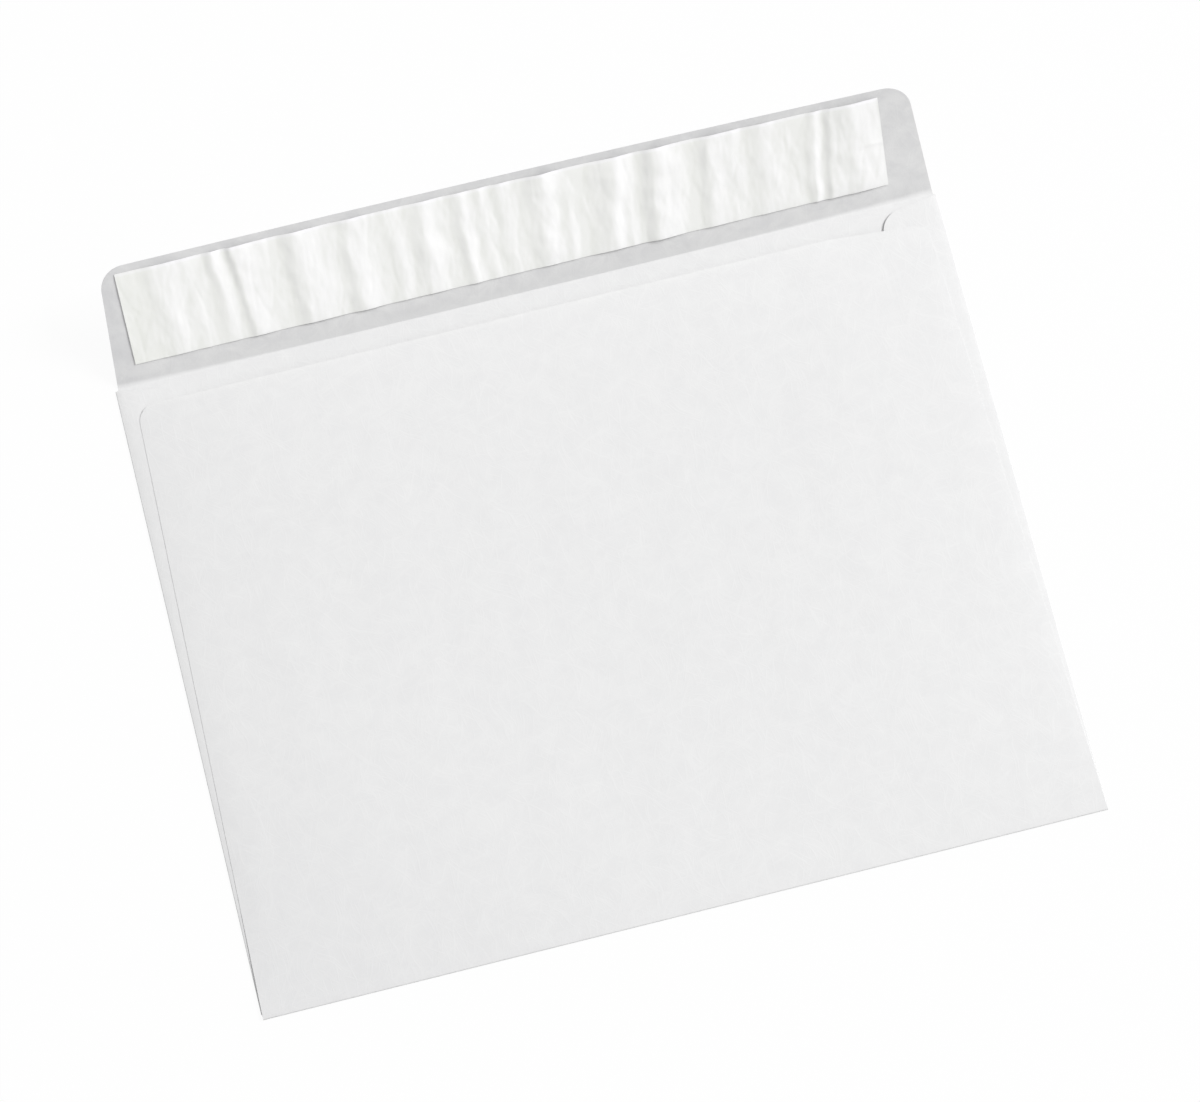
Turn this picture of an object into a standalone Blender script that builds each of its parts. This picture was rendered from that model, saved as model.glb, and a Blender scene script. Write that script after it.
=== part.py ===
"""White open-side mailing envelope, lying seam side up with its seal flap sprung open.

One die-cut sheet is folded into front panel, two side flaps, back panel and seal flap. Two
glued seams hold the back panel to the side flaps, and a wrinkled release strip covers the
adhesive on the seal flap. Units are metres, +Z up, and the origin is the middle of the front
panel's outer face, which lies on the table. +Y points at the mouth of the pocket.
"""

import math

import bmesh
import bpy
from mathutils import Vector

# Pocket
POCKET_WIDTH = 0.3302
POCKET_HEIGHT = 0.2528
SHEET = 0.00018
LOFT_CROWN = 0.0045
LOFT_EDGE = 0.0005
LOFT_EDGE_POWER = 16
LOFT_POWER_ALONG = 4

# Back panel, folded up from the bottom
MOUTH_DEPTH = 0.0088
BACK_SIDE_INSET_TOP = 0.0064
BACK_CORNER_RADIUS = 0.0070

# Side flaps, folded in under the back panel
SIDE_FLAP_WIDTH = 0.0238
SIDE_FLAP_TOP_START = 0.0005
SIDE_FLAP_BOTTOM_START = 0.0020
SIDE_FLAP_END_SLOPE = math.radians(9.0)
SIDE_FLAP_CORNER_RADIUS = 0.0090

# Seal flap, sprung up from the front panel's top edge
SEAL_FLAP_LENGTH = 0.0512
SEAL_FLAP_BASE_INSET = 0.0011
SEAL_FLAP_TAPER = math.radians(4.8)
SEAL_FLAP_CORNER_RADIUS = 0.0102
SEAL_FLAP_RISE = math.radians(42.3)
SEAL_FLAP_END_RISE = math.radians(2.8)
SEAL_FLAP_TWIST = math.radians(3.1)
SEAL_BEND_MIDDLE = 0.0005
SEAL_BEND_ENDS = 0.0035
SEAL_BEND_POWER = 3

# Folds
SIDE_FOLD_RADIUS = 0.00025
FOLD_STEPS = 4
BOTTOM_FOLD_STEPS = 6
SEAL_FOLD_STEPS = 4

# Glued seams
LAYER_CLEARANCE = 0.0001
SEAM_GLUE_THICKNESS = 0.0001
SEAM_GLUE_WIDTH = 0.0100
SEAM_GLUE_END_GAP = 0.0150

# Release strip and the adhesive below it
STRIP_LENGTH = 0.3020
STRIP_WIDTH = 0.0391
STRIP_BASE_OFFSET = 0.0094
STRIP_SIDE_SHIFT = -0.0035
STRIP_END_SKEW = 0.0008
STRIP_THICKNESS = 0.0001
STRIP_EDGE_LIFT = 0.0002
STRIP_EDGE_LIFT_POWER = 4
ADHESIVE_THICKNESS = 0.0001
ADHESIVE_MARGIN = 0.0040

# Mesh spacing
SHEET_SPACING = 0.0140
SEAM_ZONE = 0.0300
SEAM_SPACING = 0.0040
STRIP_SPACING_ALONG = 0.0015
STRIP_ROWS = 5
CORNER_STEPS = 6
ROUND_PROFILE = 0.5
MERGE_DISTANCE = 1e-6

# Ridges across the release strip: place along it from 0 to 1, width to the left and to the right,
# height at its lower and at its upper edge, and lean to the right towards the upper edge
STRIP_RIDGES = (
    (0.058, 0.0080, 0.0060, 0.00050, 0.00050, 0.0000),
    (0.093, 0.0040, 0.0030, 0.00015, 0.00025, -0.0010),
    (0.130, 0.0026, 0.0030, 0.00025, 0.00055, -0.0015),
    (0.157, 0.0020, 0.0070, 0.00065, 0.00080, -0.0017),
    (0.233, 0.0045, 0.0100, 0.00080, 0.00070, -0.0008),
    (0.301, 0.0035, 0.0070, 0.00065, 0.00065, -0.0008),
    (0.358, 0.0030, 0.0040, 0.00030, 0.00030, -0.0005),
    (0.397, 0.0050, 0.0050, 0.00065, 0.00065, 0.0003),
    (0.449, 0.0028, 0.0035, 0.00050, 0.00050, -0.0008),
    (0.475, 0.0025, 0.0030, 0.00025, 0.00025, -0.0005),
    (0.503, 0.0030, 0.0035, 0.00035, 0.00035, -0.0006),
    (0.555, 0.0070, 0.0045, 0.00075, 0.00085, 0.0008),
    (0.586, 0.0022, 0.0018, 0.00030, 0.00002, 0.0010),
    (0.646, 0.0070, 0.0042, 0.00080, 0.00085, 0.0022),
    (0.666, 0.0018, 0.0018, 0.00022, 0.00002, 0.0010),
    (0.700, 0.0042, 0.0070, 0.00110, 0.00110, 0.0016),
    (0.773, 0.0040, 0.0060, 0.00060, 0.00060, 0.0015),
    (0.803, 0.0030, 0.0030, 0.00020, 0.00025, 0.0010),
    (0.846, 0.0060, 0.0070, 0.00040, 0.00040, 0.0000),
    (0.909, 0.0028, 0.0020, 0.00050, 0.00040, 0.0016),
    (0.932, 0.0024, 0.0130, 0.00070, 0.00070, 0.0018),
    (0.969, 0.0050, 0.0090, 0.00030, 0.00035, 0.0000),
)

# Levels and lines worked out from the sizes above
LEVEL = SHEET / 2
SEAM_STACK = SHEET + SEAM_GLUE_THICKNESS + 2 * LAYER_CLEARANCE
BOTTOM_FOLD_RADIUS = SIDE_FOLD_RADIUS + SEAM_STACK / 2
SIDE_LINE = POCKET_WIDTH / 2 - SIDE_FOLD_RADIUS - SHEET / 2
BOTTOM_LINE = BOTTOM_FOLD_RADIUS + SHEET / 2 - POCKET_HEIGHT / 2
TOP_LINE = POCKET_HEIGHT / 2
BACK_TOP = TOP_LINE - MOUTH_DEPTH
SIDE_BEND = math.pi * SIDE_FOLD_RADIUS
BOTTOM_BEND = math.pi * BOTTOM_FOLD_RADIUS
SEAL_BASE = POCKET_WIDTH / 2 - SEAL_FLAP_BASE_INSET

COLLECTION_NAME = "mailing_envelope"


def clear_scene():
    for item in list(bpy.data.objects):
        bpy.data.objects.remove(item, do_unlink=True)


def make_material(name, colour, roughness):
    material = bpy.data.materials.new(name)
    material.use_nodes = True
    shader = material.node_tree.nodes["Principled BSDF"]
    shader.inputs["Base Color"].default_value = (*colour, 1.0)
    shader.inputs["Roughness"].default_value = roughness
    shader.inputs["Metallic"].default_value = 0.0
    material.diffuse_color = (*colour, 1.0)
    return material


def add_object(name, bm, material, collection, thickness):
    """A sheet surface in bm becomes a named solid of the given thickness about it."""
    mesh = bpy.data.meshes.new(name)
    bmesh.ops.recalc_face_normals(bm, faces=bm.faces)
    bm.to_mesh(mesh)
    bm.free()
    mesh.materials.append(material)
    mesh.shade_smooth()
    piece = bpy.data.objects.new(name, mesh)
    collection.objects.link(piece)
    wall = piece.modifiers.new("Thickness", "SOLIDIFY")
    wall.thickness = thickness
    wall.offset = 0.0
    wall.use_even_offset = True
    return piece


def spaced(start, end, spacing):
    """Even places between start and end, both left out, no further apart than spacing."""
    count = math.ceil((end - start) / spacing)
    return [start + (end - start) * i / count for i in range(1, count)]


def cut(bm, axis, places):
    """New edges across the flat sheet where the coordinate of axis is one of places."""
    normal = Vector((1, 0, 0)) if axis == 0 else Vector((0, 1, 0))
    for place in places:
        bmesh.ops.bisect_plane(
            bm,
            geom=bm.verts[:] + bm.edges[:] + bm.faces[:],
            dist=MERGE_DISTANCE,
            plane_co=normal * place,
            plane_no=normal,
        )


def round_corner(bm, corner, radius):
    """One corner of a flat panel becomes an arc."""
    edges = [edge.other_vert(corner).co - corner.co for edge in corner.link_edges]
    half_angle = edges[0].angle(edges[1]) / 2
    bmesh.ops.bevel(
        bm,
        geom=[corner],
        affect="VERTICES",
        offset=radius / math.tan(half_angle),
        offset_type="OFFSET",
        segments=CORNER_STEPS,
        profile=ROUND_PROFILE,
        clamp_overlap=True,
    )


def loft(x, y):
    """How far the pocket's upper layers rise between its closed edges."""
    across = min(abs(x) / SIDE_LINE, 1)
    along = min(max((BACK_TOP - y) / (BACK_TOP - BOTTOM_LINE), 0), 1)
    crown = LOFT_CROWN * (1 - across**2) ** 2
    edge = LOFT_EDGE * (1 - across**LOFT_EDGE_POWER)
    return (crown + edge) * (1 - along**LOFT_POWER_ALONG)


def side_flap_level(x, y):
    return LEVEL + 2 * SIDE_FOLD_RADIUS + loft(x, y)


def seal_bend(x):
    """The radius and the turn of the flap's bend at x. It is softer towards its two ends."""
    place = x / SEAL_BASE
    softer = (SEAL_BEND_ENDS - SEAL_BEND_MIDDLE) * abs(place) ** SEAL_BEND_POWER
    turn = SEAL_FLAP_RISE + SEAL_FLAP_END_RISE * place**2 + SEAL_FLAP_TWIST * place
    return SEAL_BEND_MIDDLE + softer, turn


def seal_flap_point(x, reach, lift=0.0):
    """A point of the raised flap, reach past its fold line and lift off its inner side."""
    radius, turn = seal_bend(x)
    bend = min(reach / radius, turn)
    straight = max(reach - radius * turn, 0)
    y = TOP_LINE + radius * math.sin(bend) + straight * math.cos(bend)
    z = LEVEL + radius * (1 - math.cos(bend)) + straight * math.sin(bend)
    return Vector((x, y - lift * math.sin(bend), z + lift * math.cos(bend)))


def folded(flat):
    """Where a point of the flat blank lies once the sheet is folded."""
    side = math.copysign(1, flat.x)
    past_side = abs(flat.x) - SIDE_LINE
    past_bottom = BOTTOM_LINE - flat.y
    if past_bottom > 0:
        turn = min(past_bottom / BOTTOM_FOLD_RADIUS, math.pi)
        y = BOTTOM_LINE - BOTTOM_FOLD_RADIUS * math.sin(turn)
        y += max(past_bottom - BOTTOM_BEND, 0)
        z = LEVEL + BOTTOM_FOLD_RADIUS * (1 - math.cos(turn))
        z += loft(flat.x, y) if past_bottom > BOTTOM_BEND else 0
        return Vector((flat.x, y, z))
    if past_side > 0:
        turn = min(past_side / SIDE_FOLD_RADIUS, math.pi)
        x = SIDE_LINE + SIDE_FOLD_RADIUS * math.sin(turn)
        x -= max(past_side - SIDE_BEND, 0)
        z = LEVEL + SIDE_FOLD_RADIUS * (1 - math.cos(turn))
        z += loft(x, flat.y) if past_side > SIDE_BEND else 0
        return Vector((side * x, flat.y, z))
    if flat.y > TOP_LINE:
        return seal_flap_point(flat.x, flat.y - TOP_LINE)
    return Vector((flat.x, flat.y, LEVEL))


def flat_blank():
    """The die-cut sheet before folding, as flat panels that share their fold lines."""
    bm = bmesh.new()
    side_low = SIDE_FLAP_BOTTOM_START - POCKET_HEIGHT / 2
    side_high = TOP_LINE - SIDE_FLAP_TOP_START
    side_reach = SIDE_LINE + SIDE_BEND + SIDE_FLAP_WIDTH
    slope = (side_reach - SIDE_LINE) * math.tan(SIDE_FLAP_END_SLOPE)
    back_end = BOTTOM_LINE - BOTTOM_BEND - (BACK_TOP - BOTTOM_LINE)
    back_half = SIDE_LINE - BACK_SIDE_INSET_TOP
    seal_end = TOP_LINE + SEAL_FLAP_LENGTH
    seal_half = SEAL_BASE - SEAL_FLAP_LENGTH * math.tan(SEAL_FLAP_TAPER)

    def panel(points):
        """A flat face through points, which come back as its corners."""
        corners = [bm.verts.new((x, y, 0)) for x, y in points]
        bm.faces.new(corners)
        return corners

    front = [
        (SIDE_LINE, BOTTOM_LINE),
        (SIDE_LINE, side_low),
        (SIDE_LINE, side_high),
        (SEAL_BASE, TOP_LINE),
    ]
    panel(front + [(-x, y) for x, y in reversed(front)])
    back = panel(
        [
            (-SIDE_LINE, BOTTOM_LINE),
            (-back_half, back_end),
            (back_half, back_end),
            (SIDE_LINE, BOTTOM_LINE),
        ]
    )
    seal = panel(
        [
            (SEAL_BASE, TOP_LINE),
            (seal_half, seal_end),
            (-seal_half, seal_end),
            (-SEAL_BASE, TOP_LINE),
        ]
    )
    rounded = [(corner, BACK_CORNER_RADIUS) for corner in back[1:3]]
    rounded += [(corner, SEAL_FLAP_CORNER_RADIUS) for corner in seal[1:3]]
    for side in (-1, 1):
        flap = panel(
            [
                (side * SIDE_LINE, side_low),
                (side * side_reach, side_low + slope),
                (side * side_reach, side_high - slope),
                (side * SIDE_LINE, side_high),
            ]
        )
        rounded += [(corner, SIDE_FLAP_CORNER_RADIUS) for corner in flap[1:3]]
    for corner, radius in rounded:
        round_corner(bm, corner, radius)
    bmesh.ops.remove_doubles(bm, verts=bm.verts, dist=MERGE_DISTANCE)
    bmesh.ops.recalc_face_normals(bm, faces=bm.faces)

    inner = SIDE_LINE - SEAM_ZONE
    across = [-inner] + spaced(-inner, inner, SHEET_SPACING) + [inner]
    for side in (-1, 1):
        seam = spaced(inner, SIDE_LINE, SEAM_SPACING)
        bend = [SIDE_LINE + SIDE_BEND * i / FOLD_STEPS for i in range(1, FOLD_STEPS + 1)]
        flap = spaced(SIDE_LINE + SIDE_BEND, side_reach, SEAM_SPACING)
        across += [side * place for place in seam + bend + flap]
    along = spaced(BOTTOM_LINE, TOP_LINE, SHEET_SPACING)
    along += [
        BOTTOM_LINE - BOTTOM_BEND * i / BOTTOM_FOLD_STEPS
        for i in range(1, BOTTOM_FOLD_STEPS + 1)
    ]
    along += spaced(back_end, BOTTOM_LINE - BOTTOM_BEND, SHEET_SPACING)
    radius, turn = seal_bend(0)
    tight = TOP_LINE + radius * turn
    radius, turn = seal_bend(SEAL_BASE)
    soft = TOP_LINE + radius * turn
    along += spaced(TOP_LINE, tight, (tight - TOP_LINE) / SEAL_FOLD_STEPS) + [tight]
    along += spaced(tight, soft, (soft - tight) / SEAL_FOLD_STEPS) + [soft]
    along += spaced(soft, seal_end, SHEET_SPACING)
    cut(bm, 0, across)
    cut(bm, 1, along)
    return bm


def build_envelope_sheet(collection):
    bm = flat_blank()
    for vert in bm.verts:
        vert.co = folded(vert.co)
    material = make_material("spunbonded_sheet", (0.86, 0.86, 0.86), 0.75)
    add_object("envelope_sheet", bm, material, collection, SHEET)


def flat_grid(low, high, columns, rows):
    """A rectangle from low to high in the flat, with even columns and rows."""
    bm = bmesh.new()
    bmesh.ops.create_grid(bm, x_segments=columns, y_segments=rows, size=0.5)
    for vert in bm.verts:
        vert.co.x = low[0] + (vert.co.x + 0.5) * (high[0] - low[0])
        vert.co.y = low[1] + (vert.co.y + 0.5) * (high[1] - low[1])
    return bm


def columns_for(length, spacing):
    return math.ceil(length / spacing)


def build_seam_glue(name, side, material, collection):
    """A ribbon of glue between one side flap and the back panel."""
    overlap_outer = SIDE_LINE - BACK_SIDE_INSET_TOP
    overlap_inner = SIDE_LINE - SIDE_FLAP_WIDTH
    centre = (overlap_outer + overlap_inner) / 2
    low = (centre - SEAM_GLUE_WIDTH / 2, BOTTOM_LINE + SEAM_GLUE_END_GAP)
    high = (centre + SEAM_GLUE_WIDTH / 2, BACK_TOP - SEAM_GLUE_END_GAP)
    rows = columns_for(high[1] - low[1], SHEET_SPACING)
    columns = columns_for(SEAM_GLUE_WIDTH, SEAM_SPACING)
    bm = flat_grid(low, high, columns, rows)
    above = SHEET / 2 + LAYER_CLEARANCE + SEAM_GLUE_THICKNESS / 2
    for vert in bm.verts:
        x, y, _ = vert.co
        vert.co = (side * x, y, side_flap_level(x, y) + above)
    add_object(name, bm, material, collection, SEAM_GLUE_THICKNESS)


def adhesive_lift():
    return SHEET / 2 + LAYER_CLEARANCE + ADHESIVE_THICKNESS / 2


def build_adhesive_band(collection):
    """The flat band of pressure-sensitive adhesive on the seal flap."""
    half = STRIP_LENGTH / 2 - ADHESIVE_MARGIN
    low = (STRIP_SIDE_SHIFT - half, STRIP_BASE_OFFSET + ADHESIVE_MARGIN)
    high = (STRIP_SIDE_SHIFT + half, STRIP_BASE_OFFSET + STRIP_WIDTH - ADHESIVE_MARGIN)
    bm = flat_grid(low, high, columns_for(2 * half, SHEET_SPACING), 2)
    for vert in bm.verts:
        vert.co = seal_flap_point(vert.co.x, vert.co.y, adhesive_lift())
    material = make_material("pressure_adhesive", (0.80, 0.79, 0.72), 0.35)
    add_object("adhesive_band", bm, material, collection, ADHESIVE_THICKNESS)


def strip_height(along, across):
    """How far the strip's ridges and edges lift it, at a share of its length and its width."""
    height = STRIP_EDGE_LIFT * abs(2 * across - 1) ** STRIP_EDGE_LIFT_POWER
    for place, left, right, lower, upper, lean in STRIP_RIDGES:
        offset = (along - place) * STRIP_LENGTH - lean * (2 * across - 1)
        width = right if offset > 0 else left
        rise = lower + (upper - lower) * across
        height += rise * math.exp(-((offset / width) ** 2))
    return height


def build_release_strip(collection):
    """The crinkled release paper over the adhesive."""
    low = (STRIP_SIDE_SHIFT - STRIP_LENGTH / 2, STRIP_BASE_OFFSET)
    high = (STRIP_SIDE_SHIFT + STRIP_LENGTH / 2, STRIP_BASE_OFFSET + STRIP_WIDTH)
    bm = flat_grid(low, high, columns_for(STRIP_LENGTH, STRIP_SPACING_ALONG), STRIP_ROWS)
    seat = adhesive_lift() + ADHESIVE_THICKNESS / 2 + LAYER_CLEARANCE + STRIP_THICKNESS / 2
    for vert in bm.verts:
        along = (vert.co.x - low[0]) / STRIP_LENGTH
        across = (vert.co.y - low[1]) / STRIP_WIDTH
        skewed = vert.co.x + STRIP_END_SKEW * (across - 0.5)
        vert.co = seal_flap_point(skewed, vert.co.y, seat + strip_height(along, across))
    material = make_material("release_paper", (0.88, 0.88, 0.85), 0.45)
    add_object("release_strip", bm, material, collection, STRIP_THICKNESS)


def build():
    clear_scene()
    collection = bpy.data.collections.new(COLLECTION_NAME)
    bpy.context.scene.collection.children.link(collection)
    build_envelope_sheet(collection)
    glue = make_material("seam_glue", (0.78, 0.78, 0.74), 0.5)
    build_seam_glue("left_seam_glue", -1, glue, collection)
    build_seam_glue("right_seam_glue", 1, glue, collection)
    build_adhesive_band(collection)
    build_release_strip(collection)


build()
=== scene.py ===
"""Looks of a white open-side mailing envelope, lying seam side up with its seal flap sprung open.

A fine folded sheet and a crinkled release strip stand for the plain ones, and each surface gets
the finish of its real material, with painted highlights and painted shade in the colours of the
sheet and the strip. Units are metres, +Z up, and the origin is the middle of the front panel's
outer face, on the table. +Y points at the mouth of the pocket.
"""

import math

import bmesh
import bpy
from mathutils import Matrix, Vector


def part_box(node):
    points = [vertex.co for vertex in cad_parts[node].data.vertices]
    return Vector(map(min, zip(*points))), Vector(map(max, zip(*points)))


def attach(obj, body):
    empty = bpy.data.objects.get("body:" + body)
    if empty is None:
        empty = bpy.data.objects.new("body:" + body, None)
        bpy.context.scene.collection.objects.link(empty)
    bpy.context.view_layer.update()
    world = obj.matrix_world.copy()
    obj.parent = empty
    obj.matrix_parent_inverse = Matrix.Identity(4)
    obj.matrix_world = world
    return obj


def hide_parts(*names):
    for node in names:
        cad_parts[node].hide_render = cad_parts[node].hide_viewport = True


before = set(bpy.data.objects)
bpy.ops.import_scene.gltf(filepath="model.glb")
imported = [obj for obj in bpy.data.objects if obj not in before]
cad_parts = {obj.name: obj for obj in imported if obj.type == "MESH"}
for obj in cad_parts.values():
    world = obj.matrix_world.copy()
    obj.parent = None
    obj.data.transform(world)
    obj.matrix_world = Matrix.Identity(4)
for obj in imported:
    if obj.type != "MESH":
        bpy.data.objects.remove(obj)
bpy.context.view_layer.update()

BODY = "root"

# The sheet's overall lines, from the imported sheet
sheet_low, sheet_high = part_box("envelope_sheet")
POCKET_HALF_WIDTH = sheet_high.x
POCKET_BOTTOM = sheet_low.y
TOP_LINE = -POCKET_BOTTOM

# The sheet and its folds. LEVEL is the height of the front panel's middle surface, FOLD_OUTSIDE
# the half thickness at the outer edge of a fold made of flat steps, and SEAM_STACK the height from
# a side flap to the back panel glued on it
SHEET = 0.00018
LEVEL = SHEET / 2
FOLD_STEPS = 8
FOLD_OUTSIDE = LEVEL / math.cos(math.pi / FOLD_STEPS / 2)
SIDE_FOLD_RADIUS = 0.00020
SIDE_LAYER_RADIUS = 0.00025
SEAM_STACK = 0.00040
BOTTOM_FOLD_RADIUS = SIDE_LAYER_RADIUS + SEAM_STACK / 2
SIDE_LINE = POCKET_HALF_WIDTH - SIDE_FOLD_RADIUS - FOLD_OUTSIDE
BOTTOM_LINE = POCKET_BOTTOM + BOTTOM_FOLD_RADIUS + FOLD_OUTSIDE
SIDE_BEND = math.pi * SIDE_FOLD_RADIUS
BOTTOM_BEND = math.pi * BOTTOM_FOLD_RADIUS

# The back panel: its cut top edge drops near the right end, and its cut side edges dip
MOUTH_DEPTH = 0.0088
BACK_TOP = TOP_LINE - MOUTH_DEPTH
BACK_SIDE_INSET_TOP = 0.0064
BACK_CORNER_RADIUS = 0.0070
MOUTH_END_DROP = 0.0028
MOUTH_END_START = 0.118
EDGE_DIP = 0.00014
EDGE_DIP_WIDTH = 0.0160
EDGE_DIP_START = 0.050

# The side flaps, under the back panel
SIDE_FLAP_WIDTH = 0.0238
SIDE_FLAP_TOP_START = 0.0005
SIDE_FLAP_BOTTOM_START = 0.0020
SIDE_FLAP_END_SLOPE = math.radians(9.0)
SIDE_FLAP_CORNER_RADIUS = 0.0090

# The pocket's loft, which levels off and fades at the side flaps' free ends in the throat. The
# side flaps rise from their tight folds, and the back panel is pressed down over them
LOFT_CROWN = 0.0045
LOFT_EDGE = 0.0004
LOFT_EDGE_POWER = 16
LOFT_POWER_ALONG = 4
LOFT_SETTLED = 0.0010
THROAT_SETTLE = 0.85
THROAT_SETTLE_REACH = 0.008
EDGE_PRESS = 2 * (SIDE_LAYER_RADIUS - SIDE_FOLD_RADIUS)
EDGE_PRESS_WIDTH = 0.010
SIDE_FLAP_LIFT = 0.00014

# Slight waves of the back panel
WAVE_HEIGHT = 0.00035
WAVE_SCALE = (34.0, 11.0, 1.0)
WAVE_SEED = 0.0

# The seal flap
SEAL_FLAP_LENGTH = 0.05119
SEAL_FLAP_BASE_INSET = 0.0011
SEAL_BASE = POCKET_HALF_WIDTH - SEAL_FLAP_BASE_INSET
SEAL_FLAP_TAPER = math.radians(4.8)
SEAL_FLAP_CORNER_RADIUS = 0.0102
SEAL_FLAP_RISE = math.radians(42.3)
SEAL_FLAP_END_RISE = math.radians(2.8)
SEAL_FLAP_TWIST = math.radians(3.1)
SEAL_BEND_MIDDLE = 0.0005
SEAL_BEND_ENDS = 0.0035
SEAL_BEND_POWER = 3

# The release strip: its place on the flap, its crinkles and the marks at its two ends
STRIP_LENGTH = 0.3020
STRIP_WIDTH = 0.0391
STRIP_BASE_OFFSET = 0.00905
STRIP_SIDE_SHIFT = -0.0035
STRIP_END_SKEW = 0.0008
STRIP_THICKNESS = 0.0001
STRIP_SEAT = 0.00038
STRIP_RAISED = 0.0004
STRIP_LOWER_DROP = 0.00005
STRIP_UPPER_DROP = 0.00014
STRIP_LOWER_POWER = 20
STRIP_UPPER_POWER = 28
LOWER_PINCH = 0.35
LOWER_PINCH_POWER = 12
RIDGE_WANDER = 0.0040
RIDGE_WANDER_SCALE = (30.0, 55.0, 1.0)
RIDGE_WANDER_SEED = 0.0
RIDGE_VARIETY = (0.1, 1.9)
RIDGE_VARIETY_SEED = 3.7
CRINKLE_HEIGHT = 0.00052
CRINKLE_SCALE = (150.0, 70.0, 1.0)
CRINKLE_SEED = 1.3
FINE_CREASE_DEPTH = 0.00004
FINE_CREASE_SHARE = 0.055
FINE_CREASE_SCALE = (110.0, 24.0, 1.0)
FINE_CREASE_SEED = 8.1
END_CREASE_UP = 0.0250
END_CREASE_SLOPE = math.radians(40)
END_CREASE_LENGTH = 0.0085
END_CREASE_WIDTH = 0.0009
END_CREASE_DEPTH = 0.00036
END_RIDGE = (0.3000, 0.0198)
END_RIDGE_WIDTHS = (0.0060, 0.0009)
END_RIDGE_HEIGHT = 0.00016

# Mesh spacing
SHEET_SPACING = 0.0026
STRIP_SPACING = 0.00055
BEND_SPACING = SEAL_BEND_MIDDLE / 4
ARC_STEPS = 10
MERGE_DISTANCE = 1e-6
SHARP_EDGE = math.radians(50)

# Ridges across the release strip: place along it from 0 to 1, width to the left and to the right,
# height at its lower and at its upper edge, and lean to the right towards the upper edge
STRIP_RIDGES = (
    (0.058, 0.0080, 0.0060, 0.00050, 0.00050, 0.0000),
    (0.093, 0.0040, 0.0030, 0.00015, 0.00025, -0.0010),
    (0.130, 0.0026, 0.0030, 0.00025, 0.00055, -0.0015),
    (0.157, 0.0020, 0.0070, 0.00065, 0.00080, -0.0017),
    (0.233, 0.0045, 0.0100, 0.00080, 0.00070, -0.0008),
    (0.301, 0.0035, 0.0070, 0.00065, 0.00065, -0.0008),
    (0.358, 0.0030, 0.0040, 0.00030, 0.00030, -0.0005),
    (0.397, 0.0050, 0.0050, 0.00065, 0.00065, 0.0003),
    (0.449, 0.0028, 0.0035, 0.00050, 0.00050, -0.0008),
    (0.475, 0.0025, 0.0030, 0.00025, 0.00025, -0.0005),
    (0.503, 0.0030, 0.0035, 0.00035, 0.00035, -0.0006),
    (0.555, 0.0070, 0.0045, 0.00075, 0.00085, 0.0008),
    (0.586, 0.0022, 0.0018, 0.00030, 0.00002, 0.0010),
    (0.646, 0.0070, 0.0042, 0.00080, 0.00085, 0.0022),
    (0.666, 0.0018, 0.0018, 0.00022, 0.00002, 0.0010),
    (0.700, 0.0042, 0.0070, 0.00110, 0.00110, 0.0016),
    (0.773, 0.0040, 0.0060, 0.00060, 0.00060, 0.0015),
    (0.803, 0.0030, 0.0030, 0.00020, 0.00025, 0.0010),
    (0.846, 0.0060, 0.0070, 0.00040, 0.00040, 0.0000),
    (0.909, 0.0028, 0.0020, 0.00050, 0.00040, 0.0016),
    (0.932, 0.0024, 0.0130, 0.00070, 0.00070, 0.0018),
    (0.966, 0.0050, 0.0090, 0.00050, 0.00055, 0.0000),
)

# Fibre web: bent fibres in four directions over a cloudy base
FIBRE_DIRECTIONS = tuple(math.radians(angle) for angle in (14, 63, 97, 141))
FIBRE_STRETCH = (40.0, 850.0, 300.0)
FIBRE_EDGES = (0.50, 0.72)
FIBRE_RELIEF = 0.55
FIBRE_BEND_SCALE = 55.0
FIBRE_BEND = 0.010
CLOUD_EDGES = (0.25, 0.75)
CLOUD_RELIEF = 0.45

# The sheet's finish. Its tone is coarser on the flap. A painted highlight makes it paler at the
# mouth's cut edge, and painted shade makes it darker in one corner, along the flap's rim and at
# its left end
SHEET_ROUGHNESS = (0.72, 0.55)
SHEET_SPECULAR = 0.15
SHEET_COLOURS = ((0.745, 0.745, 0.748), (0.780, 0.780, 0.780))
SHEET_CLOUD_SCALE = 130.0
SHEET_CLOUD_SHARE = 0.65
SHEET_FIBRE_SHARE = 0.35
SHEET_BUMP = (0.65, 0.00003)
FLAP_TONE_FADE = 0.004
FLAP_CLOUD = 1.5
# Painted highlight: a pale band along the back panel's cut mouth edge
MOUTH_HIGHLIGHT_WIDTH = 0.0025
MOUTH_EDGE_PAINTED_HIGHLIGHT = 0.6
# Painted shade: the sheet grows darker towards its lower left corner
SHADED_CORNER_SIDE = (-0.6, -0.8)
SHADED_CORNER_REACH = (0.08, 0.20)
SHADED_CORNER_PAINTED_SHADE = 0.9
# Painted shade along the flap's outer rim and at its left end
FLAP_RIM_WIDTHS = (0.0060, 0.0020)
FLAP_RIM_PAINTED_SHADE = 0.9
FLAP_END_REACH = (0.150, 0.160)
FLAP_END_PAINTED_SHADE = 1.5

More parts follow.
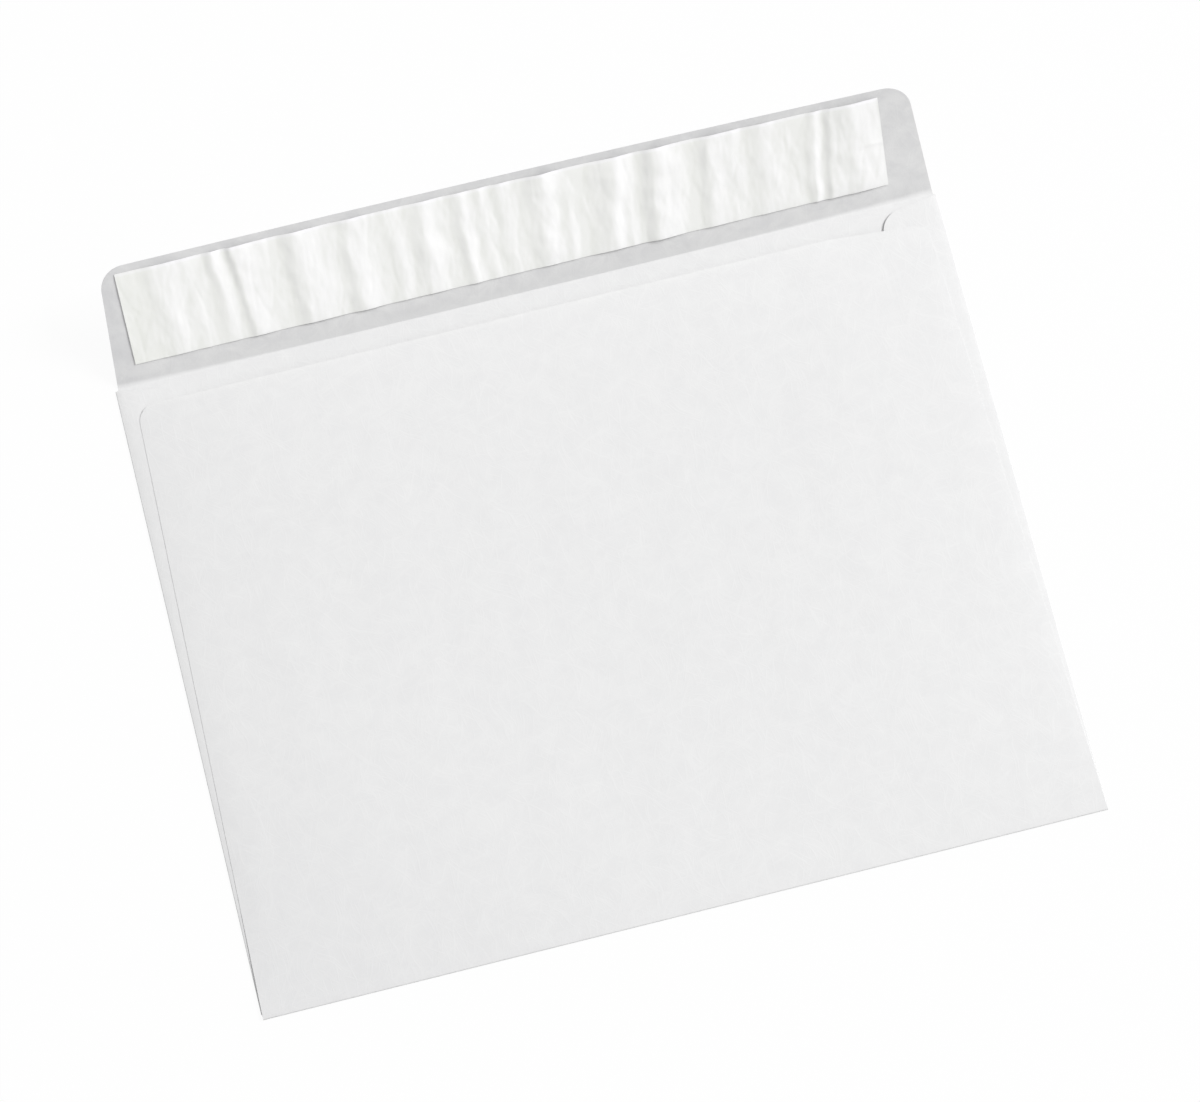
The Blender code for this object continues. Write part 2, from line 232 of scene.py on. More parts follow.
# The release paper's finish: paler on its ridges. A painted highlight makes it paler on slopes
# that face the lamp and at its upper edge, and painted shade makes it darker at its left end
PAPER_ROUGHNESS = (0.48, 0.38)
PAPER_SPECULAR = 0.7
PAPER_COAT = 0.6
PAPER_COAT_ROUGHNESS = 0.4
PAPER_COLOURS = ((0.918, 0.926, 0.892), (0.962, 0.962, 0.958))
PAPER_CLOUD_SCALE = 90.0
PAPER_FIBRE_SCALE = 0.7
PAPER_BUMP = (0.4, 0.00003)
RIDGE_CLOUD = 0.5
RIDGE_TONE_EDGES = (0.1, 1.3)
RIDGE_PALE = 0.35
# Painted highlight on slopes that face the lamp
SLOPE_EDGES = (-0.10, 0.08)
LAMP_SLOPE_PAINTED_HIGHLIGHT = 0.65
# Painted highlight along the strip's upper edge
UPPER_EDGE_WIDTHS = (0.0018, 0.0006)
UPPER_EDGE_PAINTED_HIGHLIGHT = 0.9
# Painted shade at the strip's left end
STRIP_END_REACH = (0.125, 0.150)
STRIP_END_PAINTED_SHADE = 0.35

# The adhesive's and the glue's finish
GLUE_ROUGHNESS = (0.5, 0.3)
GLUE_SPECULAR = 0.5
GLUE_CLOUD_SCALE = 260.0
GLUE_FIBRE_SCALE = 0.5
GLUE_BUMP = (0.4, 0.00005)
ADHESIVE_COLOURS = ((0.78, 0.77, 0.69), (0.84, 0.83, 0.76))
SEAM_GLUE_COLOURS = ((0.76, 0.76, 0.71), (0.82, 0.82, 0.78))

# Camera, placed as for the photograph
CAMERA_PLACE = (-0.09019, -0.35590, 1.65625)
CAMERA_TURN_DEGREES = (13.1103, 0.0545, -14.0776)
CAMERA_LENS_MM = 132.347
CAMERA_SENSOR_MM = 36.0

# Light: one broad lamp far to the right and an even sky
KEY_ELEVATION = math.radians(40)
KEY_SIDE = math.radians(7)
KEY_SPREAD = math.radians(24)
KEY_DISTANCE = 10.0
KEY_ON_TABLE = 0.615
SKY_ON_TABLE = 0.482
FLOOR_SIZE = 8.0
FLOOR_DROP = 0.0002
FLOOR_COLOUR = (0.80, 0.80, 0.80, 1.0)
FLOOR_SHOWN_SHADE = 0.05
WHITE = (1.0, 1.0, 1.0, 1.0)


class Field:
    """A socket's value in a node tree, which takes part in plain arithmetic."""

    def __init__(self, tree, socket):
        self.tree = tree
        self.socket = socket

    def __add__(self, other):
        return calculate(self.tree, "ADD", self, other)

    def __sub__(self, other):
        return calculate(self.tree, "SUBTRACT", self, other)

    def __rsub__(self, other):
        return calculate(self.tree, "SUBTRACT", other, self)

    def __mul__(self, other):
        return calculate(self.tree, "MULTIPLY", self, other)

    def __truediv__(self, other):
        return calculate(self.tree, "DIVIDE", self, other)

    def __pow__(self, other):
        return calculate(self.tree, "POWER", self, other)


def feed(tree, socket, value):
    """A socket takes its value from another node, or a plain value."""
    if isinstance(value, Field):
        tree.links.new(value.socket, socket)
    else:
        socket.default_value = value


def add_node(tree, kind, values=(), output=0, **settings):
    """A node with its settings, its inputs fed in order or by name, as a Field."""
    node = tree.nodes.new(kind)
    for name, setting in settings.items():
        setattr(node, name, setting)
    pairs = values.items() if isinstance(values, dict) else enumerate(values)
    for key, value in pairs:
        feed(tree, node.inputs[key], value)
    return Field(tree, node.outputs[output])


def calculate(tree, operation, *values):
    return add_node(tree, "ShaderNodeMath", values, operation=operation)


def limited(tree, value, low, high):
    return add_node(tree, "ShaderNodeClamp", (value, low, high))


def smooth_step(tree, value, low, high):
    """From 0 to 1 with soft ends, as value goes from low to high."""
    names = ("Value", "From Min", "From Max")
    inputs = dict(zip(names, (value, low, high)))
    return add_node(tree, "ShaderNodeMapRange", inputs, interpolation_type="SMOOTHSTEP")


def vector_math(tree, operation, *values):
    return add_node(tree, "ShaderNodeVectorMath", values, operation=operation)


def split(tree, vector):
    node = tree.nodes.new("ShaderNodeSeparateXYZ")
    feed(tree, node.inputs[0], vector)
    return [Field(tree, socket) for socket in node.outputs]


def stored(tree, geometry, name, value, form):
    """Geometry with a value kept on its points."""
    inputs = {"Geometry": geometry, "Name": name, "Value": value}
    return add_node(tree, "GeometryNodeStoreNamedAttribute", inputs, data_type=form)


def noise_field(tree, flat, scale, seed):
    """Soft noise from 0 to 1 with its own scale each way."""
    stretched = vector_math(tree, "MULTIPLY", flat, scale)
    moved = vector_math(tree, "ADD", stretched, (seed, seed, seed))
    inputs = {"Vector": moved, "Scale": 1.0, "Detail": 2.0, "Roughness": 0.5}
    return add_node(tree, "ShaderNodeTexNoise", inputs)


def new_tree(name, kind, inputs, outputs):
    """A node group with named sockets. Returns it, its inputs as Fields and its output node."""
    tree = bpy.data.node_groups.new(name, kind)
    for label, form, value in inputs:
        socket = tree.interface.new_socket(name=label, in_out="INPUT", socket_type=form)
        if value is not None:
            socket.default_value = value
    for label, form in outputs:
        tree.interface.new_socket(name=label, in_out="OUTPUT", socket_type=form)
    entry = tree.nodes.new("NodeGroupInput")
    fields = [Field(tree, socket) for socket in entry.outputs[: len(inputs)]]
    return tree, fields, tree.nodes.new("NodeGroupOutput")


def use_group(tree, kind, group, values):
    """A group placed in a tree. Returns its outputs as Fields."""
    node = tree.nodes.new(kind)
    node.node_tree = group
    for socket, value in zip(node.inputs, values):
        feed(tree, socket, value)
    return [Field(tree, socket) for socket in node.outputs]


FLOAT = "NodeSocketFloat"
VECTOR = "NodeSocketVector"
GEOMETRY = "NodeSocketGeometry"
MATERIAL = "NodeSocketMaterial"

# The order of a Mix node's colour sockets and of other nodes' outputs
MIX_FACTOR, MIX_FROM, MIX_TO, MIX_RESULT = 0, 6, 7, 2
NOISE_COLOUR = 1
ATTRIBUTE_VECTOR, ATTRIBUTE_NUMBER = 1, 2
OBJECT_COORDINATES = 3


def fold_group():
    """A sheet bent round a radius: a distance past the fold line gives a place in the fold's
    plane and a height above it."""
    tree, inputs, outlet = new_tree(
        "sheet fold",
        "GeometryNodeTree",
        (("Distance", FLOAT, 0.0), ("Radius", FLOAT, SIDE_FOLD_RADIUS), ("Turn", FLOAT, math.pi)),
        (("Along", FLOAT), ("Up", FLOAT)),
    )
    distance, radius, turn = inputs
    bend = limited(tree, distance / radius, 0.0, turn)
    past = calculate(tree, "MAXIMUM", distance - radius * turn, 0.0)
    before = calculate(tree, "MINIMUM", distance, 0.0)
    sine = calculate(tree, "SINE", bend)
    cosine = calculate(tree, "COSINE", bend)
    feed(tree, outlet.inputs["Along"], before + radius * sine + past * cosine)
    feed(tree, outlet.inputs["Up"], radius * (1.0 - cosine) + past * sine)
    return tree


def seal_flap_group(fold):
    """The raised flap: where a point lies, reach past the flap's fold line and lift off its
    inner side. Its bend is softer towards its two ends."""
    tree, inputs, outlet = new_tree(
        "raised seal flap",
        "GeometryNodeTree",
        (("X", FLOAT, 0.0), ("Reach", FLOAT, 0.0), ("Lift", FLOAT, 0.0)),
        (("Y", FLOAT), ("Z", FLOAT)),
    )
    x, reach, lift = inputs
    place = x / SEAL_BASE
    turn = place**2 * SEAL_FLAP_END_RISE + place * SEAL_FLAP_TWIST + SEAL_FLAP_RISE
    softer = calculate(tree, "ABSOLUTE", place) ** SEAL_BEND_POWER
    radius = softer * (SEAL_BEND_ENDS - SEAL_BEND_MIDDLE) + SEAL_BEND_MIDDLE
    along, up = use_group(tree, "GeometryNodeGroup", fold, (reach, radius, turn))
    angle = limited(tree, reach / radius, 0.0, turn)
    feed(tree, outlet.inputs["Y"], along - lift * calculate(tree, "SINE", angle))
    feed(tree, outlet.inputs["Z"], up + lift * calculate(tree, "COSINE", angle))
    return tree


def loft_field(tree, x, y):
    """How far the pocket's upper layers rise between its closed edges."""
    share = limited(tree, calculate(tree, "ABSOLUTE", x) / SIDE_LINE, 0.0, 1.0)
    crown = (1.0 - share**2) ** 2 * LOFT_CROWN
    crown = (1.0 - calculate(tree, "EXPONENT", crown / -LOFT_SETTLED)) * LOFT_SETTLED
    edge = (1.0 - share**LOFT_EDGE_POWER) * LOFT_EDGE
    along = limited(tree, (BACK_TOP - y) / (BACK_TOP - BOTTOM_LINE), 0.0, 1.0)
    return (crown + edge) * (1.0 - along**LOFT_POWER_ALONG)


def folded_sheet_tree(fold, seal_flap):
    """Folds the flat blank into the envelope."""
    tree, inputs, outlet = new_tree(
        "folded envelope sheet",
        "GeometryNodeTree",
        (
            ("Geometry", GEOMETRY, None),
            ("Material", MATERIAL, None),
            ("Side Line", FLOAT, SIDE_LINE),
            ("Bottom Line", FLOAT, BOTTOM_LINE),
            ("Top Line", FLOAT, TOP_LINE),
            ("Side Fold Radius", FLOAT, SIDE_FOLD_RADIUS),
            ("Bottom Fold Radius", FLOAT, BOTTOM_FOLD_RADIUS),
            ("Edge Dip", FLOAT, EDGE_DIP),
            ("Wave Height", FLOAT, WAVE_HEIGHT),
        ),
        (("Geometry", GEOMETRY),),
    )
    geometry, material, side_line, bottom_line, top_line = inputs[:5]
    side_radius, bottom_radius, edge_dip, wave_height = inputs[5:]
    flat = add_node(tree, "GeometryNodeInputPosition")
    x, y, _ = split(tree, flat)
    across = calculate(tree, "ABSOLUTE", x)
    past_side = across - side_line
    past_bottom = bottom_line - y
    past_top = y - top_line
    side_in, side_up = use_group(
        tree, "GeometryNodeGroup", fold, (past_side, side_radius, math.pi)
    )
    back_in, back_up = use_group(
        tree, "GeometryNodeGroup", fold, (past_bottom, bottom_radius, math.pi)
    )
    seal_in, seal_up = use_group(tree, "GeometryNodeGroup", seal_flap, (x, past_top, 0.0))
    new_x = calculate(tree, "SIGN", x) * (side_line + side_in)
    new_y = y + (bottom_line - back_in - y) + (top_line + seal_in - y)

    in_side_flap = calculate(tree, "GREATER_THAN", past_side, side_radius * math.pi)
    in_back = calculate(tree, "GREATER_THAN", past_bottom, bottom_radius * math.pi)
    in_throat = smooth_step(tree, new_y, BACK_TOP - THROAT_SETTLE_REACH, BACK_TOP)
    lofted = in_back + in_side_flap * (1.0 - in_throat * THROAT_SETTLE)
    flap_edge_share = limited(tree, side_in / EDGE_PRESS_WIDTH + 1.0, 0.0, 1.0)
    flap_rise = (1.0 - flap_edge_share**2) * (EDGE_PRESS + SIDE_FLAP_LIFT)
    height = side_up + back_up + seal_up + loft_field(tree, new_x, new_y) * lofted + LEVEL
    height = height + in_side_flap * flap_rise

    # The back panel's cut side edges lie down on the side flaps
    slant = BACK_SIDE_INSET_TOP / (BACK_TOP - BOTTOM_LINE)
    back_edge = side_line - (new_y - bottom_line) * slant
    near_edge = limited(tree, (across - back_edge) / EDGE_DIP_WIDTH + 1.0, 0.0, 1.0) ** 2
    share_up = smooth_step(tree, new_y - bottom_line, 0.0, EDGE_DIP_START)
    dip = near_edge * share_up * edge_dip

    # Waves in the lofted part of the back panel only, where nothing lies close under it
    inner = 1.0 - smooth_step(tree, across, SIDE_LINE - 2 * SIDE_FLAP_WIDTH, SIDE_LINE)
    waves = noise_field(tree, flat, WAVE_SCALE, WAVE_SEED) * inner * share_up * wave_height
    edge_share = limited(tree, (across - side_line) / EDGE_PRESS_WIDTH + 1.0, 0.0, 1.0)
    pressed = edge_share**2 * share_up * (EDGE_PRESS + SIDE_FLAP_LIFT)
    height = height + in_back * (waves - dip - pressed)

    place = add_node(tree, "ShaderNodeCombineXYZ", (new_x, new_y, height))
    kept = stored(tree, geometry, "flat", flat, "FLOAT_VECTOR")
    moved = add_node(tree, "GeometryNodeSetPosition", {"Geometry": kept, "Position": place})
    finish_tree(tree, moved, material, outlet)
    return tree


def finish_tree(tree, geometry, material, outlet):
    real = add_node(tree, "GeometryNodeRealizeInstances", {"Geometry": geometry})
    inputs = {"Geometry": real, "Material": material}
    feed(tree, outlet.inputs[0], add_node(tree, "GeometryNodeSetMaterial", inputs))


def ridge_group():
    """One ridge across the strip, steeper to one side, leaning, and fading along its length."""
    tree, inputs, outlet = new_tree(
        "strip ridge",
        "GeometryNodeTree",
        (
            ("Along", FLOAT, 0.0),
            ("Share", FLOAT, 0.0),
            ("Place", FLOAT, 0.0),
            ("Left Width", FLOAT, 0.003),
            ("Right Width", FLOAT, 0.003),
            ("Lower Height", FLOAT, 0.0005),
            ("Upper Height", FLOAT, 0.0005),
            ("Lean", FLOAT, 0.0),
        ),
        (("Height", FLOAT),),
    )
    along, share, place, left, right, lower, upper, lean = inputs
    offset = along - place - lean * (share * 2.0 - 1.0)
    on_right = calculate(tree, "GREATER_THAN", offset, 0.0)
    width = left + (right - left) * on_right
    bell = calculate(tree, "EXPONENT", (offset / width) ** 2 * -1.0)
    feed(tree, outlet.inputs[0], bell * (lower + (upper - lower) * share))
    return tree


def crinkles_field(tree, flat):
    """Small uneven waves across the strip, and fine creases that wind along them."""
    waves = (noise_field(tree, flat, CRINKLE_SCALE, CRINKLE_SEED) - 0.5) * CRINKLE_HEIGHT
    winding = noise_field(tree, flat, FINE_CREASE_SCALE, FINE_CREASE_SEED) - 0.5
    from_line = calculate(tree, "ABSOLUTE", winding)
    crease = 1.0 - smooth_step(tree, from_line, 0.0, FINE_CREASE_SHARE)
    return waves - crease * FINE_CREASE_DEPTH


def end_marks_field(tree, along, up):
    """A short slanting crease at the strip's left end and a short ridge at its right end."""
    above = up - END_CREASE_UP
    sine, cosine = math.sin(END_CREASE_SLOPE), math.cos(END_CREASE_SLOPE)
    beside = along * sine + above * cosine
    reach = along * cosine - above * sine
    groove = calculate(tree, "EXPONENT", (beside / END_CREASE_WIDTH) ** 2 * -1.0)
    groove = groove * (1.0 - smooth_step(tree, reach, END_CREASE_LENGTH / 2, END_CREASE_LENGTH))
    place_x, place_y = END_RIDGE
    long, wide = END_RIDGE_WIDTHS
    far = ((along - place_x) / long) ** 2 + ((up - place_y) / wide) ** 2
    ridge = calculate(tree, "EXPONENT", far * -1.0)
    return ridge * END_RIDGE_HEIGHT - groove * END_CREASE_DEPTH


def release_strip_tree(seal_flap):
    """The crinkled release paper on the raised flap."""
    tree, inputs, outlet = new_tree(
        "crinkled release strip",
        "GeometryNodeTree",
        (
            ("Material", MATERIAL, None),
            ("Length", FLOAT, STRIP_LENGTH),
            ("Width", FLOAT, STRIP_WIDTH),
            ("Spacing", FLOAT, STRIP_SPACING),
            ("Base Offset", FLOAT, STRIP_BASE_OFFSET),
            ("Side Shift", FLOAT, STRIP_SIDE_SHIFT),
            ("End Skew", FLOAT, STRIP_END_SKEW),
            ("Seat", FLOAT, STRIP_SEAT),
            ("Lower Drop", FLOAT, STRIP_LOWER_DROP),
            ("Upper Drop", FLOAT, STRIP_UPPER_DROP),
        ),
        (("Geometry", GEOMETRY),),
    )
    material, length, width, spacing, base_offset, side_shift, skew, seat = inputs[:8]
    lower_drop, upper_drop = inputs[8:]
    grid_inputs = {
        "Size X": length,
        "Size Y": width,
        "Vertices X": length / spacing,
        "Vertices Y": width / spacing,
    }
    grid = add_node(tree, "GeometryNodeMeshGrid", grid_inputs)
    flat = add_node(tree, "GeometryNodeInputPosition")
    x, y, _ = split(tree, flat)
    share = y / width + 0.5
    from_left = x + length * 0.5
    from_below = y + width * 0.5
    ridge = ridge_group()
    wander = noise_field(tree, flat, RIDGE_WANDER_SCALE, RIDGE_WANDER_SEED) - 0.5
    along = from_left + wander * RIDGE_WANDER
    height = None
    for place, *sizes in STRIP_RIDGES:
        values = (along, share, length * place, *sizes)
        (bump,) = use_group(tree, "GeometryNodeGroup", ridge, values)
        height = bump if height is None else height + bump
    lowest, highest = RIDGE_VARIETY
    variety = noise_field(tree, flat, RIDGE_WANDER_SCALE, RIDGE_VARIETY_SEED)
    height = height * (variety * (highest - lowest) + lowest)
    height = height * (1.0 - (1.0 - share) ** LOWER_PINCH_POWER * LOWER_PINCH)
    height = height + crinkles_field(tree, flat)
    height = height + end_marks_field(tree, from_left, from_below)
    height = calculate(tree, "MAXIMUM", height, 0.0)
    drop = (1.0 - share) ** STRIP_LOWER_POWER * lower_drop + share**STRIP_UPPER_POWER * upper_drop
    height = height + seat - drop
    across = x + side_shift + skew * (share - 0.5)
    reach = from_below + base_offset
    new_y, new_z = use_group(tree, "GeometryNodeGroup", seal_flap, (across, reach, height))
    place = add_node(tree, "ShaderNodeCombineXYZ", (across, new_y + TOP_LINE, new_z + LEVEL))
    kept = stored(tree, grid, "flat", flat, "FLOAT_VECTOR")
    kept = stored(tree, kept, "raised", (height - seat) / STRIP_RAISED, "FLOAT")
    moved = add_node(tree, "GeometryNodeSetPosition", {"Geometry": kept, "Position": place})
    # The normal's part towards the lamp's side, kept for the release paper's painted highlight
    to_right, _, _ = split(tree, add_node(tree, "GeometryNodeInputNormal"))
    finish_tree(tree, stored(tree, moved, "to right", to_right, "FLOAT"), material, outlet)
    return tree


def spaced(start, end, spacing):
    """Even places from start to end, no further apart than spacing."""
    count = math.ceil((end - start) / spacing)
    return [start + (end - start) * i / count for i in range(count + 1)]


def rounded(before, corner, after, radius):
    """The arc that takes the place of an outline's corner."""
    first = (before - corner).normalized()
    second = (after - corner).normalized()
    half = first.angle(second) / 2
    centre = corner + (first + second).normalized() * (radius / math.sin(half))
    start = corner + first * (radius / math.tan(half)) - centre
    end = corner + second * (radius / math.tan(half)) - centre
    turns = [start.slerp(end, i / ARC_STEPS) for i in range(ARC_STEPS + 1)]
    return [centre + turn.normalized() * radius for turn in turns]


def panel_outline(corners):
    """A closed outline from corners, each an x, a y and a radius."""
    points = [Vector((x, y, 0)) for x, y, _ in corners]
    outline = []
    for i, (_, _, radius) in enumerate(corners):
        following = points[(i + 1) % len(points)]
        arc = rounded(points[i - 1], points[i], following, radius) if radius else [points[i]]
        outline.extend(arc)
    return outline


def add_panel(blank, across, along, corners):
    """A flat panel with a convex outline, cut up on the places across and along."""
    outline = panel_outline(corners)
    panel = bmesh.new()
    panel.faces.new([panel.verts.new(point) for point in outline])
    for axis, places in ((0, across), (1, along)):
        normal = Vector((1 - axis, axis, 0))
        low = min(point[axis] for point in outline)
        high = max(point[axis] for point in outline)
        for place in places:
            if low < place < high:
                bmesh.ops.bisect_plane(
                    panel,
                    geom=panel.verts[:] + panel.edges[:] + panel.faces[:],
                    dist=MERGE_DISTANCE,
                    plane_co=normal * place,
                    plane_no=normal,
                )
    mesh = bpy.data.meshes.new("panel")
    panel.to_mesh(mesh)
    panel.free()
    blank.from_mesh(mesh)
    bpy.data.meshes.remove(mesh)


def flat_blank():
    """The die-cut sheet before folding, as one flat mesh."""
    side_low = POCKET_BOTTOM + SIDE_FLAP_BOTTOM_START
    side_high = TOP_LINE - SIDE_FLAP_TOP_START
    side_reach = SIDE_LINE + SIDE_BEND + SIDE_FLAP_WIDTH
    slope = (side_reach - SIDE_LINE) * math.tan(SIDE_FLAP_END_SLOPE)
    back_end = BOTTOM_LINE - BOTTOM_BEND - (BACK_TOP - BOTTOM_LINE)
    back_half = SIDE_LINE - BACK_SIDE_INSET_TOP
    seal_end = TOP_LINE + SEAL_FLAP_LENGTH
    seal_half = SEAL_BASE - SEAL_FLAP_LENGTH * math.tan(SEAL_FLAP_TAPER)
    bend_end = TOP_LINE + SEAL_BEND_ENDS

    half = spaced(0, SEAL_BASE, SHEET_SPACING) + [SIDE_LINE]
    half += spaced(SIDE_LINE, SIDE_LINE + SIDE_BEND, SIDE_BEND / FOLD_STEPS)[1:]
    half += spaced(SIDE_LINE + SIDE_BEND, side_reach, SHEET_SPACING)[1:]
    across = [-x for x in reversed(half[1:])] + half
    along = spaced(back_end, BOTTOM_LINE - BOTTOM_BEND, SHEET_SPACING)
    along += spaced(BOTTOM_LINE - BOTTOM_BEND, BOTTOM_LINE, BOTTOM_BEND / FOLD_STEPS)[1:]
    along += spaced(BOTTOM_LINE, side_low, SHEET_SPACING)[1:]
    along += spaced(side_low, side_high, SHEET_SPACING)[1:]
    along += [TOP_LINE]
    along += spaced(TOP_LINE, bend_end, BEND_SPACING)[1:]
    along += spaced(bend_end, seal_end, SHEET_SPACING)[1:]

    blank = bmesh.new()
    front = [
        (SIDE_LINE, BOTTOM_LINE, 0),
        (SIDE_LINE, side_high, 0),
        (SEAL_BASE, TOP_LINE, 0),
    ]
    front += [(-x, y, radius) for x, y, radius in reversed(front)]
    add_panel(blank, across, along, front)
    back = [
        (-SIDE_LINE, BOTTOM_LINE, 0),
        (-back_half, back_end, BACK_CORNER_RADIUS),
        (MOUTH_END_START, back_end, 0),
        (back_half, back_end + MOUTH_END_DROP, BACK_CORNER_RADIUS),
        (SIDE_LINE, BOTTOM_LINE, 0),
    ]
    add_panel(blank, across, along, back)
    seal = [
        (SEAL_BASE, TOP_LINE, 0),
        (seal_half, seal_end, SEAL_FLAP_CORNER_RADIUS),
        (-seal_half, seal_end, SEAL_FLAP_CORNER_RADIUS),
        (-SEAL_BASE, TOP_LINE, 0),
    ]
    add_panel(blank, across, along, seal)
    side = [
        (SIDE_LINE, side_low, 0),
        (side_reach, side_low + slope, SIDE_FLAP_CORNER_RADIUS),
        (side_reach, side_high - slope, SIDE_FLAP_CORNER_RADIUS),
        (SIDE_LINE, side_high, 0),
    ]
    add_panel(blank, across, along, side)
    add_panel(blank, across, along, [(-x, y, radius) for x, y, radius in reversed(side)])
    bmesh.ops.remove_doubles(blank, verts=blank.verts, dist=MERGE_DISTANCE)
    bmesh.ops.recalc_face_normals(blank, faces=blank.faces)
    mesh = bpy.data.meshes.new("flat blank")
    blank.to_mesh(mesh)
    blank.free()
    return mesh


def plain_piece(name, source, body, node):
    """What an object's modifiers make, as a plain mesh in the frame, in place of a CAD node."""
    graph = bpy.context.evaluated_depsgraph_get()
    mesh = bpy.data.meshes.new_from_object(source.evaluated_get(graph), depsgraph=graph)
    mesh.name = name
    mesh.shade_smooth()
    mesh.set_sharp_from_angle(angle=SHARP_EDGE)
    piece = bpy.data.objects.new(name, mesh)
    bpy.context.scene.collection.objects.link(piece)
    bpy.data.objects.remove(source)
    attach(piece, body)
    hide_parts(node)
    return piece


def shaped(name, mesh, tree, material, thickness):
    """An object with a node tree that shapes it and a sheet's thickness."""
    source = bpy.data.objects.new(name, mesh)
    bpy.context.scene.collection.objects.link(source)
    shape = source.modifiers.new("Shape", "NODES")
    shape.node_group = tree
    for item in tree.interface.items_tree:
        if item.in_out == "INPUT" and item.name == "Material":
            shape[item.identifier] = material
    wall = source.modifiers.new("Thickness", "SOLIDIFY")
    wall.thickness = thickness
    wall.offset = 0.0
    wall.use_even_offset = True
    return source


def new_material(name, specular):
    """A material, its node tree and its shader."""
    material = bpy.data.materials.new(name)
    material.use_nodes = True
    tree = material.node_tree
    shader = tree.nodes["Principled BSDF"]
    shader.inputs["Specular IOR Level"].default_value = specular
    return material, tree, shader


def fibre_web_group():
    """A spunbonded web: long bent fibres that cross, over a cloudy base. All outputs 0 to 1."""
    tree, inputs, outlet = new_tree(
        "fibre web",
        "ShaderNodeTree",
        (("Vector", VECTOR, None), ("Cloud Scale", FLOAT, 120.0), ("Fibre Scale", FLOAT, 1.0)),
        (("Cloud", FLOAT), ("Fibres", FLOAT), ("Height", FLOAT)),
    )
    vector, cloud_scale, fibre_scale = inputs
    bend_inputs = {"Vector": vector, "Scale": FIBRE_BEND_SCALE, "Detail": 1.0}
    bends = add_node(tree, "ShaderNodeTexNoise", bend_inputs, output=NOISE_COLOUR)
    centred = vector_math(tree, "SUBTRACT", bends, (0.5, 0.5, 0.5))
    shift = vector_math(tree, "MULTIPLY", centred, (FIBRE_BEND,) * 3)
    bent = vector_math(tree, "ADD", vector, shift)
    fibres = None
    for angle in FIBRE_DIRECTIONS:
        turn_inputs = {"Vector": bent, "Angle": angle}
        turned = add_node(tree, "ShaderNodeVectorRotate", turn_inputs, rotation_type="Z_AXIS")
        stretched = vector_math(tree, "MULTIPLY", turned, FIBRE_STRETCH)
        streaks = add_node(
            tree,
            "ShaderNodeTexNoise",
            {"Vector": stretched, "Scale": fibre_scale, "Detail": 2.0, "Roughness": 0.6},
        )
        lines = smooth_step(tree, streaks, *FIBRE_EDGES)
        fibres = lines if fibres is None else calculate(tree, "MAXIMUM", fibres, lines)
    cloud = add_node(
        tree,
        "ShaderNodeTexNoise",
        {
            "Vector": bent,
            "Scale": cloud_scale,
            "Detail": 4.0,
            "Roughness": 0.6,
            "Distortion": 0.4,
        },
    )
    cloud = smooth_step(tree, cloud, *CLOUD_EDGES)
    feed(tree, outlet.inputs["Cloud"], cloud)
    feed(tree, outlet.inputs["Fibres"], fibres)
    feed(tree, outlet.inputs["Height"], fibres * FIBRE_RELIEF + cloud * CLOUD_RELIEF)
    return tree


def colour_between(tree, factor, low, high):
    """A colour on the line from low, at factor 0, to high, at factor 1, and past both."""
    inputs = {MIX_FACTOR: factor, MIX_FROM: (*low, 1.0), MIX_TO: (*high, 1.0)}
    return add_node(
        tree, "ShaderNodeMix", inputs, output=MIX_RESULT, data_type="RGBA", clamp_factor=False
    )


def number_between(tree, factor, low, high):
    """A number from low to high as factor goes from 0 to 1, and no further."""
    inputs = {"Value": factor, "To Min": low, "To Max": high}
    return add_node(tree, "ShaderNodeMapRange", inputs)


def kept_value(tree, name, form):
    """A value that the shape's node tree kept on the mesh."""
    return add_node(tree, "ShaderNodeAttribute", output=form, attribute_name=name)


def add_bump(tree, shader, height, strength, distance):
    inputs = {"Strength": strength, "Distance": distance, "Height": height}
    feed(tree, shader.inputs["Normal"], add_node(tree, "ShaderNodeBump", inputs))


